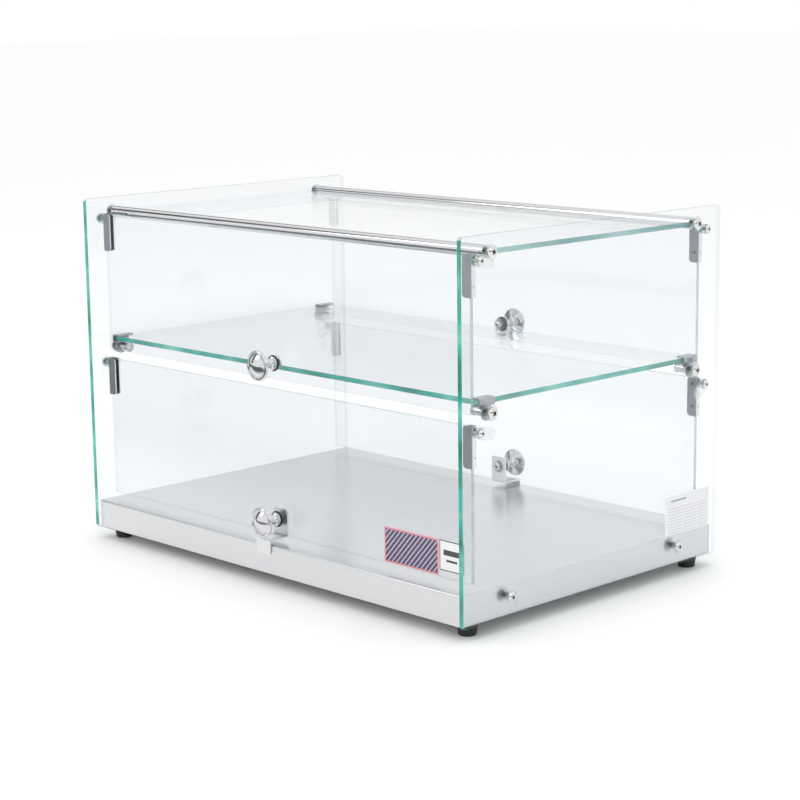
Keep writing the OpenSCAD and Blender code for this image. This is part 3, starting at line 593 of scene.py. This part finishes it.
def folded(path, width, sheet, bend, free=0.8):
    """A strip of sheet folded along a path of (x, z) pairs and centred on y = 0. The path
    runs along the middle of the sheet. All sizes in millimetres."""
    shape = bmesh.new()
    line = [shape.verts.new((x * mm, -width / 2 * mm, z * mm)) for x, z in path]
    edges = [shape.edges.new(pair) for pair in zip(line, line[1:])]
    grown = bmesh.ops.extrude_edge_only(shape, edges=edges)["geom"]
    bmesh.ops.translate(shape, vec=(0, width * mm, 0),
                        verts=[g for g in grown if isinstance(g, bmesh.types.BMVert)])
    corners = [v for v in shape.verts if len(v.link_faces) == 1]
    if free:
        bmesh.ops.bevel(shape, geom=corners, offset=free * mm, offset_type="OFFSET", segments=5,
                        profile=0.5, affect="VERTICES", material=-1)
    soften(shape, bend * mm, 5, lambda e: len(e.link_faces) == 2 and e.calc_face_angle(0) > 0.6)
    return modified(to_mesh(shape), "SOLIDIFY", thickness=sheet * mm, offset=0,
                    use_even_offset=True)


shelf_edge = green_edge("shelf_glass_edge", (0.012, 0.22, 0.18), (0.050, 0.42, 0.35),
                        (0.28, 0.72, 0.64), 0.93, 16)
fasten("shelf_glass", level("shelf_glass", 2 * mm), [flat_face, shelf_edge], "case",
       ["shelf_glass"])

clip_steel = brushed("satin_clip_steel", (0.44, 0.45, 0.48), (300, 300, 30), 0.33, 0.08)
shelf_y, shelf_z = rows["shelf"]
for face, face_name in ((FRONT, "front"), (REAR, "rear")):
    for side, side_name in ((LEFT, "left"), (RIGHT, "right")):
        node = f"{face_name}_{side_name}_shelf_clip"
        low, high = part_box(node)
        glass_low, glass_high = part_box("shelf_glass")
        web = high.x if side == RIGHT else -low.x
        tall = (glass_high.z - glass_low.z) / mm + 1.5
        channel = folded([(-9.9, 0), (-0.75, 0), (-0.75, tall), (-9.9, tall)], 20, 1.5, 1.1)
        channel.transform(Matrix.Translation((web, 0, glass_low.z - 0.75 * mm)))
        leg = pane(15 * mm, (high.z - low.z) * 0.68, 1.4 * mm, 7.2 * mm, (), 0.2)
        leg.transform(Matrix(((0, 0, 1, web - 1.45 * mm), (1, 0, 0, 0),
                              (0, 1, 0, low.z + (high.z - low.z) * 0.34), (0, 0, 0, 1))))
        clip = to_mesh(opened(channel, leg))
        clip.transform(Matrix.Translation((0, face * shelf_y, 0))
                       @ Matrix.Diagonal((side, face, 1, 1)))
        fasten(node, clip, [clip_steel], "case", [node])

low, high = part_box("shelf_sleeve_nuts")
sleeve = ((high.x - low.x) / 2, 16.0)
nut = cut(to_mesh(turned([(0, 0), (4.25, 0), (4.25, 13.6), (4.6, 14), (5, 14.2)]
                         + arc((4.5, 15.1), 0.5, 0, 60, 3) + arc((0, 6.9), 9.1, 62, 90, 8), 40)),
          block((-2.8 * mm, -0.7 * mm, 14.7 * mm), (2.8 * mm, 0.7 * mm, 18 * mm)),
          block((-0.7 * mm, -2.8 * mm, 14.7 * mm), (0.7 * mm, 2.8 * mm, 18 * mm)))
fasten("shelf_sleeve_nuts", copies(nut, [
    pointing((-side, 0, 0), (side * sleeve[0], face * shelf_y, shelf_z), 20 + 35 * side * face)
    for side in (LEFT, RIGHT) for face in (FRONT, REAR)]),
    [chrome], "case", ["shelf_sleeve_nuts"])


# ---- Pivot bushings --------------------------------------------------------------------
# Clear moulded plates with a boss through the side glass, which carries the pivot screw of
# a flap. The second end of each plate has a shallow round dimple.

plates = []
for at in pivots.values():
    face = FRONT if at.y < 0 else REAR
    tilt = math.radians(10 if face == FRONT else 35)
    plate = pane(24.9 * mm, 11.9 * mm, 1.6 * mm, 5.93 * mm, [(6.5 * mm, 0, 4.1)], 0.3)
    dimple = turned([(0, 0.9), (2.6, 0.9), (3, 1.2), (3, 3), (0, 3)], 28)
    bmesh.ops.translate(dimple, vec=(-6.5 * mm, 0, 0), verts=dimple.verts)
    plate = cut(plate, dimple)
    boss = to_mesh(turned([(2.05, -6.1), (4.3, -6.1), (4.45, -5.9), (4.45, 0.01), (2.05, 0.01),
                           (2.05, -6.1)], 32))
    boss.transform(Matrix.Translation((6.5 * mm, 0, 0)))
    bushing = to_mesh(opened(plate, boss))
    bushing.transform(Matrix.Translation((-6.5 * mm, 0, 0)))
    # Local x runs back from the far end to the pivot, so it points out towards the flap.
    away = Vector((0, math.cos(tilt), math.sin(tilt)))
    across = Vector((1, 0, 0)).cross(away)
    lay = Matrix((Vector((0, away.y, away.z)), across, (1, 0, 0))).transposed().to_4x4()
    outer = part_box("right_side_glass")[1].x
    bushing.transform(Matrix.Translation((outer + hair / 2, abs(at.y), at.z)) @ lay)
    rod_y, rod_z = rows["rod"]
    if abs(at.z - rod_z) < 20 * mm:
        room = turned([(0, 0), (7.8, 0), (7.8, 3), (0, 3)], 40)
        bmesh.ops.transform(room, matrix=pointing((1, 0, 0), (outer - 0.5 * mm, rod_y, rod_z)),
                            verts=room.verts)
        bushing = cut(bushing, room)
    for side in (LEFT, RIGHT):
        one = bushing.copy()
        one.transform(Matrix.Diagonal((side, face, 1, 1)))
        plates.append(one)
fasten("pivot_bushings", opened(*plates), [clear_plastic], "case",
       ["pivot_bushings"])


# ---- Flaps -----------------------------------------------------------------------------
# Four 4 mm panes that hang from their top corners and lift outwards, two to the front and
# two to the rear. Steel channels clamp the corners and carry the pivot screws.

flap_face = clear_glass("flap_glass_clear", (0.972, 0.977, 0.984))
flap_edge = green_edge("flap_glass_edge", (0.22, 0.36, 0.37), (0.34, 0.48, 0.49),
                       (0.48, 0.60, 0.60), 0.62, 30)
satin = brushed("satin_hinge_steel", (0.36, 0.38, 0.42), (260, 260, 30), 0.36, 0.09)
# The channel faces that look along x take a lighter, glossier copy of the same steel. It is a painted
# reflection of the white surroundings that these faces mirror.
web_painted_sheen = brushed("bright_hinge_steel", (0.80, 0.815, 0.83), (260, 260, 30), 0.16, 0.06)
socket_black = plated("grub_screw_steel", (0.30, 0.30, 0.31), 0.35)
hinge_reach = 11.5
for name, pivot in pivots.items():
    face = FRONT if pivot.y < 0 else REAR
    body = name + "_flap"
    low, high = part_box(name + "_glass")
    middle = (low + high) / 2
    knob_low, knob_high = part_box(name + "_knob")
    knob_z = (knob_low.z + knob_high.z) / 2
    glass = pane(high.x - low.x, high.z - low.z, high.y - low.y, 2 * mm,
                 [(0, knob_z - middle.z, 5)], 0.45)
    glass.transform(Matrix(((1, 0, 0, middle.x), (0, 0, -1, high.y), (0, 1, 0, middle.z),
                            (0, 0, 0, 1))))
    fasten(name + "_glass", glass, [flap_face, flap_edge], body, [name + "_glass"])

    for side, side_name in ((LEFT, "left"), (RIGHT, "right")):
        node = f"{name}_{side_name}_clip"
        low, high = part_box(node)
        web = high.x if side == RIGHT else -low.x
        tall = (high.z - low.z) / mm
        deep = (high.y - low.y) / mm
        channel = folded([(-hinge_reach, 0), (-0.6, 0), (-0.6, deep - 1.2),
                          (-hinge_reach, deep - 1.2)], tall, 1.2, 0.9, 3.4)
        channel.transform(Matrix(((1, 0, 0, web), (0, 0, 1, -deep / 2 * mm + 0.6 * mm),
                                  (0, 1, 0, 0), (0, 0, 0, 1))))
        tools = []
        for z, across in ((tall / 2 - 5.5, 4.0), (tall / 2 - 29, 1.5)):
            drill = turned([(0, -3), (across / 2, -3), (across / 2, 3), (0, 3)], 24)
            bmesh.ops.transform(drill, matrix=pointing((1, 0, 0), (web, 0, z * mm)),
                                verts=drill.verts)
            tools.append(drill)
        channel = cut(channel, *tools)
        for f in channel.polygons:
            # Faces across x, chiefly the web, take the lighter copy, which is painted reflection.
            f.material_index = int(abs(f.normal.x) > 0.8)
        channel.transform(Matrix.Translation((0, (low.y + high.y) / 2, (low.z + high.z) / 2))
                          @ Matrix.Diagonal((side, 1, 1, 1)))
        fasten(node, channel, [satin, web_painted_sheen], body, [node])

    low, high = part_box(name + "_pivot_screws")
    screw = cross_screw(8, 2.35, 4, 10.4)
    fasten(name + "_pivot_screws", copies(screw, [
        pointing((side, 0, 0), (side * (high.x - 2.4 * mm), pivot.y, pivot.z), 25 + 50 * side * face)
        for side in (LEFT, RIGHT)]), [zinc, recess], body, [name + "_pivot_screws"])

    low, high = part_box(name + "_clamp_screws")
    inner = high.y if face == FRONT else low.y
    outer = low.y if face == FRONT else high.y
    grub = cut(to_mesh(turned([(0, 0), (1.5, 0), (1.5, 2.4), (1.2, 2.7), (0, 2.7)], 24)),
               turned([(0, 1.6), (0.8, 1.6), (0.8, 4), (0, 4)], 6))
    fasten(name + "_clamp_screws", copies(grub, [
        pointing((0, -face, 0), (x, outer, z), 15)
        for x in (low.x + 1.5 * mm, high.x - 1.5 * mm)
        for z in (low.z + 1.5 * mm, high.z - 1.5 * mm)]),
        [socket_black], body, [name + "_clamp_screws"])


# ---- Knobs -----------------------------------------------------------------------------
# Turned and chromed knobs with a raised rim round a domed head. A black rubber ring sits
# between the knob and the glass, and a clear washer under the screw on the inner side.

knob_profile = ([(0, 0), (6.6, 0), (7, 0.4), (7, 1.8)] + arc((7, 5), 3, 262, 180, 7)
                + [(4, 12.6)] + arc((6.4, 12.6), 2.4, 180, 112, 5)
                + [(9.4, 15.9), (12.2, 16.9)]
                + arc((13.3, 18.9), 1.7, -62, 100, 12)
                + arc((12.25, 20.55), 0.65, -70, -150, 4)
                + [(11.35, 20.15)]
                + arc((0, 6.32), 17.68, 51.5, 90, 18))
knob = to_mesh(turned(knob_profile, 96))
for name, pivot in pivots.items():
    face = FRONT if pivot.y < 0 else REAR
    body = name + "_flap"
    low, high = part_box(name + "_knob")
    seat = high.y if face == FRONT else low.y
    z = (low.z + high.z) / 2
    fasten(name + "_knob", copies(knob, [pointing((0, face, 0), (0, seat, z))]), [chrome], body,
           [name + "_knob"])
    low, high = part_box(name + "_knob_washers")
    inner = high.y if face == FRONT else low.y
    outside = copies(ring(16, 5, 1.5, 0.4), [pointing((0, face, 0), (0, seat - face * 1.5 * mm, z))])
    inside = copies(ring(14, 5, 1, 0.3), [pointing((0, face, 0), (0, inner, z))])
    for f in inside.faces:
        f.material_index = 1
    fasten(name + "_knob_washers", opened(to_mesh(outside), to_mesh(inside)),
           [black_rubber, clear_plastic], body, [name + "_knob_washers"])
    low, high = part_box(name + "_knob_screw")
    length = (high.y - low.y) / mm - 2.7
    fasten(name + "_knob_screw", copies(cross_screw(8, 2.6, 4, length), [
        pointing((0, -face, 0), (0, inner, z), 40)]), [zinc, recess], body,
        [name + "_knob_screw"])


# ---- Stop brackets ---------------------------------------------------------------------
# A strip of stainless under each lower flap, held by its knob. It is folded out under the
# glass and down again, so that its tab closes against the base.

bracket_steel = brushed("bracket_stainless", (0.86, 0.86, 0.865), (700, 60, 60), 0.42, 0.05)
for face, node in ((FRONT, "front_lower_bracket"), (REAR, "rear_lower_bracket")):
    low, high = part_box(node)
    near, far = (-high.y / mm, -low.y / mm) if face == FRONT else (low.y / mm, high.y / mm)
    bottom, top = low.z / mm, high.z / mm
    floor = 46.75
    strip = folded([(near + 0.75, top), (near + 0.75, floor), (far - 0.75, floor),
                    (far - 0.75, bottom)], 20, 1.5, 1.5, 2.8)
    strip.transform(Matrix(((0, 1, 0, 0), (face, 0, 0, 0), (0, 0, 1, 0), (0, 0, 0, 1))))
    fasten(node, strip, [bracket_steel], "front_lower_flap" if face == FRONT
           else "rear_lower_flap", [node])


# ---- Labels ----------------------------------------------------------------------------
# Printed vinyl labels: a striped one with a red border and a plain one with a black border
# on the front flap, and a thin-ruled rating label on the side. None carries any lettering.

def printed(name, centre, wide, tall, upright, paper, ink, border, edge, marks):
    """Vinyl with a border and a pattern of marks, drawn from the label's own x and y."""
    vinyl = Finish(name)
    x, y = (vinyl.node("SeparateXYZ", {}, {0: vinyl.place(centre=centre)}, output=axis)
            for axis in upright)
    rim = (abs(x) - (wide / 2 - edge)).most(abs(y) - (tall / 2 - edge)).over(0.0)
    fibre = vinyl.noise(1500, 3)
    shade = vinyl.mix(marks(x, y), paper, ink)
    shade = vinyl.mix(rim, shade, border)
    shade = vinyl.mix(fibre * 0.12, shade, tuple(c * 0.8 for c in paper))
    return vinyl.shown(vinyl.node("BsdfPrincipled", {}, {
        "Base Color": shade, "Roughness": 0.34 + fibre * 0.12,
        "Normal": vinyl.bump(fibre, 0.10, 0.03 * mm)}))


def rules(x, y):
    """Thin rows with short gaps, as on a table of ratings."""
    row = (y / (3.1 * mm)).wave().under(0.13)
    column = ((x + 8 * mm) / (23 * mm)).wave().over(0.07)
    inside = (abs(x) - 31 * mm).under(0.0) * (y - 9 * mm).under(0.0)
    head = (abs(y - 14 * mm) - 0.9 * mm).under(0.0) * (abs(x + 14 * mm) - 12 * mm).under(0.0)
    return (row * column * inside * 0.75).most(head * 0.85)


def bars(x, y):
    """One broad bar over a narrow one."""
    broad = (abs(y - 3 * mm) - 2.6 * mm).under(0.0) * (abs(x) - 10.5 * mm).under(0.0)
    narrow = (abs(y + 4.5 * mm) - 1.1 * mm).under(0.0) * (abs(x) - 7 * mm).under(0.0)
    return broad.most(narrow)


def stripes(x, y):
    """Slanting stripes."""
    return ((x - y * 0.9) / (5.4 * mm)).wave().under(0.70)


low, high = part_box("rating_label")
middle = (low + high) / 2
rating = pane(high.y - low.y, high.z - low.z, high.x - low.x - hair, 0.5 * mm, (), 0.02)
rating.transform(Matrix(((0, 0, 1, low.x + hair), (1, 0, 0, middle.y), (0, 1, 0, middle.z),
                         (0, 0, 0, 1))))
vinyl = printed("rating_vinyl", middle, high.y - low.y, high.z - low.z, (1, 2),
                (0.76, 0.77, 0.79), (0.26, 0.27, 0.31), (0.88, 0.89, 0.90), 0.7 * mm, rules)
fasten("rating_label", rating, [vinyl, vinyl], "case", ["rating_label"])

low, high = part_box("front_labels")
both = []
looks = []
for x0, x1, z0, z1, name, paper, ink, border, edge, marks in (
        (low.x, low.x + 71 * mm, low.z, low.z + 33.5 * mm, "striped_vinyl", (0.62, 0.50, 0.60),
         (0.060, 0.058, 0.125), (0.80, 0.24, 0.29), 1.5 * mm, stripes),
        (high.x - 31 * mm, high.x, high.z - 28.5 * mm, high.z, "plain_vinyl",
         (0.86, 0.87, 0.88), (0.03, 0.03, 0.035), (0.03, 0.03, 0.035), 0.9 * mm, bars)):
    middle = Vector(((x0 + x1) / 2, low.y, (z0 + z1) / 2))
    one = pane(x1 - x0, z1 - z0, high.y - low.y - hair, 0.5 * mm, (), 0.02)
    for f in one.polygons:
        f.material_index = len(looks)
    one.transform(Matrix(((1, 0, 0, middle.x), (0, 0, -1, high.y - hair), (0, 1, 0, middle.z),
                          (0, 0, 0, 1))))
    both.append(one)
    looks.append(printed(name, middle, x1 - x0, z1 - z0, (0, 2), paper, ink, border, edge, marks))
fasten("front_labels", opened(*both), looks, "front_lower_flap", ["front_labels"])


# ---- Floor, light and camera -------------------------------------------------------------
# A broad pale table under a white studio tent, with soft boxes to the left, right and above.

table = bmesh.new()
bmesh.ops.create_grid(table, x_segments=1, y_segments=1, size=20)
table_mesh = to_mesh(table, "table")
# The camera sees the table evenly pale. Glossy rays see two dark patches on it, to the front left and
# to the left of the case. These are painted reflections that put dark bands into the chrome and steel.
paint = Finish("pale_table")
mirrored = paint.node("LightPath", output="Is Glossy Ray")
dark = 0.0
for centre, wide, deep in (((-0.60, -0.94, 0), 1.0, 0.62), ((-1.75, -0.25, 0), 0.95, 0.95)):
    dark_x, dark_y = (paint.node("SeparateXYZ", {}, {0: paint.place(centre=centre)}, output=axis)
                      for axis in (0, 1))
    dark = (((1 - abs(dark_x) / wide) * 3.5).most(0.0).least(1.0)
            * ((1 - abs(dark_y) / deep) * 3.5).most(0.0).least(1.0)).most(dark)
table_mesh.materials.append(paint.shown(paint.node("BsdfPrincipled", {}, {
    "Base Color": paint.mix(mirrored * dark, (0.96, 0.96, 0.96), (0.10, 0.10, 0.105)),
    "Roughness": 0.6, "Specular IOR Level": 0.2})))
table = bpy.data.objects.new("table", table_mesh)
bpy.context.scene.collection.objects.link(table)

world = bpy.data.worlds.new("studio")
bpy.context.scene.world = world
world.use_nodes = True
tree = world.node_tree
tree.nodes.clear()
rays = tree.nodes.new("ShaderNodeLightPath")
seen = Socket(tree, rays.outputs["Is Camera Ray"])
ray = Socket(tree, rays.outputs["Is Glossy Ray"])
way = tree.nodes.new("ShaderNodeTexCoord").outputs["Generated"]
parts = tree.nodes.new("ShaderNodeSeparateXYZ")
tree.links.new(way, parts.inputs[0])
way_x, way_y, way_z = (Socket(tree, parts.outputs[i]) for i in range(3))
left = (((0.19 - abs(way_y + 0.37)) * 12).most((0.13 - abs(way_y - 0.36)) * 12).most(0.0)
        .least(1.0) * (way_x * -6).most(0.0).least(1.0)
        * ((0.70 - way_z) * 6).most(0.0).least(1.0))
right = ((way_x * 0.9 - way_y * 0.45 - 0.80) * 14).most(0.0).least(1.0) * \
    ((0.5 - way_z) * 5).most(0.0).least(1.0)
high = ((way_z - 0.80) * 12).most(0.0).least(1.0) * ((0.25 - way_x) * 5).most(0.0).least(1.0)
strength = 1.03 - seen * 0.02 - ray * (0.03 + (left * 0.88 + right * 0.75 + high * 0.45).least(0.93))
glow = tree.nodes.new("ShaderNodeBackground")
feed(tree, glow.inputs["Strength"], strength)
glow.inputs["Color"].default_value = (1, 1, 1, 1)
sky = tree.nodes.new("ShaderNodeOutputWorld")
tree.links.new(glow.outputs[0], sky.inputs["Surface"])

for name, at, size, power in (("soft_box_left", (-1.6, -2.0, 1.9), (1.2, 1.2), 8),
                              ("soft_box_right", (2.6, -0.4, 1.7), (1.0, 1.6), 5),
                              ("soft_box_top", (0.1, 0.4, 2.8), (2.2, 1.6), 9)):
    lamp = bpy.data.lights.new(name, "AREA")
    lamp.shape = "RECTANGLE"
    lamp.size, lamp.size_y = size
    lamp.energy = power
    light = bpy.data.objects.new(name, lamp)
    light.matrix_world = pointing(Vector(at) - Vector((0, 0, 0.15)), at)
    bpy.context.scene.collection.objects.link(light)

lens = bpy.data.cameras.new("camera")
lens.sensor_width = 36
lens.lens = 95.06
lens.clip_end = 60
camera = bpy.data.objects.new("camera", lens)
camera.matrix_world = (Matrix.Translation((1.5393, -1.4819, 0.5756))
                       @ Matrix.Rotation(math.radians(45.926), 4, "Z")
                       @ Matrix.Rotation(math.radians(90 - 11.009), 4, "X")
                       @ Matrix.Rotation(math.radians(-0.734), 4, "Z"))
bpy.context.scene.collection.objects.link(camera)
scene = bpy.context.scene
scene.camera = camera
scene.view_settings.view_transform = "Standard"
scene.cycles.max_bounces = 24
scene.cycles.transparent_max_bounces = 48
scene.cycles.glossy_bounces = 6
